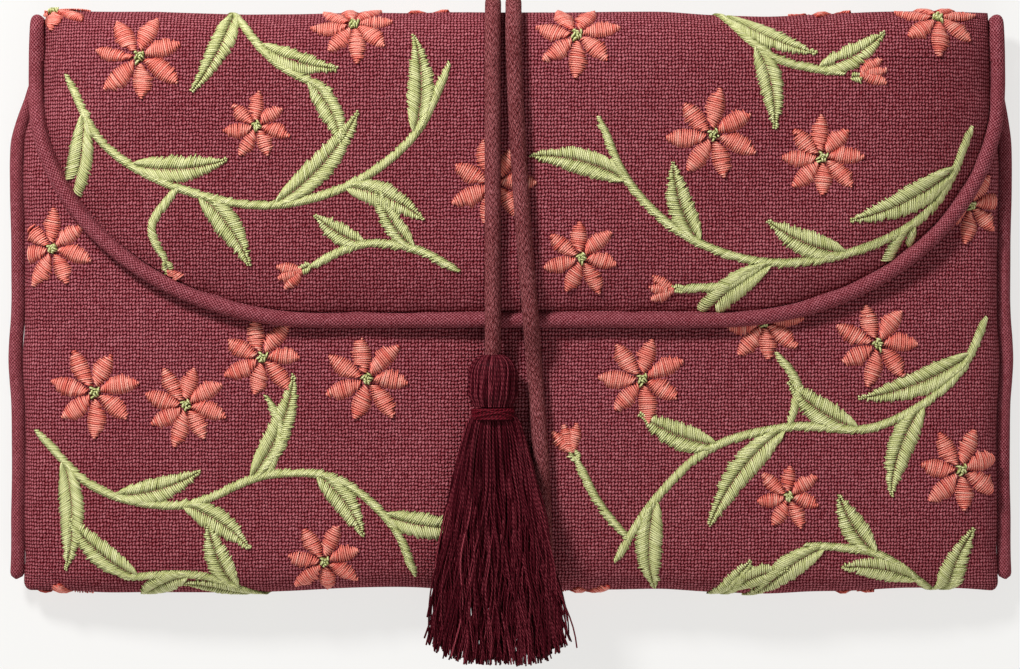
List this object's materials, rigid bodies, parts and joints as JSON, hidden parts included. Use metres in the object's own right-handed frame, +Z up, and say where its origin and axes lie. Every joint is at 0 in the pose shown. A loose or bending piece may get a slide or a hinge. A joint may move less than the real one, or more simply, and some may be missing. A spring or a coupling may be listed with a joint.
{
  "type": "jewelry pouch",
  "caption": "Padded linen fold-over pouch with a rounded piped flap, an embroidered face, and a wrapped tie cord that ends in a tassel.",
  "frame": {"origin": "centre of the pouch's plan outline, on the surface that it lies on, measured without the cord and its tassel", "axes": "+X to the pouch's right side seam as seen from its front, +Y to the top fold that the flap turns on, +Z up, out of the front"},
  "size_m": [0.2321, 0.1527, 0.0279],
  "materials": {
    "linen": "heathered coarse plain-weave linen with satin-stitch embroidery",
    "piping": "fine bias-cut piping cloth",
    "piping_core": "undyed cotton cord",
    "wadding": "soft polyester wadding",
    "lining": "fine satin lining",
    "elastic": "ribbed woven elastic",
    "zip_tape": "woven zip tape",
    "metal": "brushed antique brass",
    "cord": "matte braided cotton cord",
    "yarn": "glossy twisted rayon yarn",
    "binding": "glossy rayon thread"
  },
  "bodies": {
    "pouch": {"body_shell": "linen", "body_wadding": "wadding", "body_lining": "lining", "slip_pocket_left": "lining", "slip_pocket_right": "lining", "slip_elastic_left": "elastic", "slip_elastic_right": "elastic", "mouth_piping": "piping", "side_piping_left": "piping", "side_piping_right": "piping", "mouth_piping_core": "piping_core", "side_piping_left_core": "piping_core", "side_piping_right_core": "piping_core"},
    "flap": {"flap_shell": "linen", "flap_wadding": "wadding", "flap_lining": "lining", "flap_pocket_bag": "lining", "flap_piping": "piping", "flap_piping_core": "piping_core", "zip_tape_upper": "zip_tape", "zip_tape_lower": "zip_tape", "zip_teeth_upper": "metal", "zip_teeth_lower": "metal", "zip_stop_left": "metal", "zip_stop_right": "metal", "fold_shell": "linen", "fold_wadding": "wadding", "fold_lining": "lining", "fold_piping_left": "piping", "fold_piping_right": "piping", "fold_piping_left_core": "piping_core", "fold_piping_right_core": "piping_core"},
    "zip_slider": {"zip_slider": "metal", "zip_pull": "metal"},
    "cord": {"wrap_cord": "cord"},
    "tassel": {"tassel_head": "yarn", "tassel_knot": "cord", "tassel_binding": "binding", "tassel_skirt": "yarn"}
  },
  "joints": [
    {"name": "flap_fold", "type": "hinge", "parent": "pouch", "child": "flap", "pos_m": [0, 0.0591, 0.0112], "axis": [-1, 0, 0], "range_deg": [0, 180], "deforming": ["fold_shell", "fold_wadding", "fold_lining", "fold_piping_left", "fold_piping_right", "fold_piping_left_core", "fold_piping_right_core", "wrap_cord"]},
    {"name": "zip_slide", "type": "slide", "parent": "flap", "child": "zip_slider", "axis": [1, 0, 0], "range_m": [0, 0.095]},
    {"name": "cord_slip", "type": "slide", "parent": "pouch", "child": "cord", "axis": [1, 0, 0], "range_m": [0, 0.26]},
    {"name": "tassel_swing", "type": "hinge", "parent": "cord", "child": "tassel", "pos_m": [-0.0041, -0.0118, 0.0214], "axis": [0, 0, 1], "range_deg": [-60, 0]}
  ],
  "couplings": [
    {"joint": "cord_slip", "follows": "flap_fold", "m_per_rad": 0.0825}
  ]
}
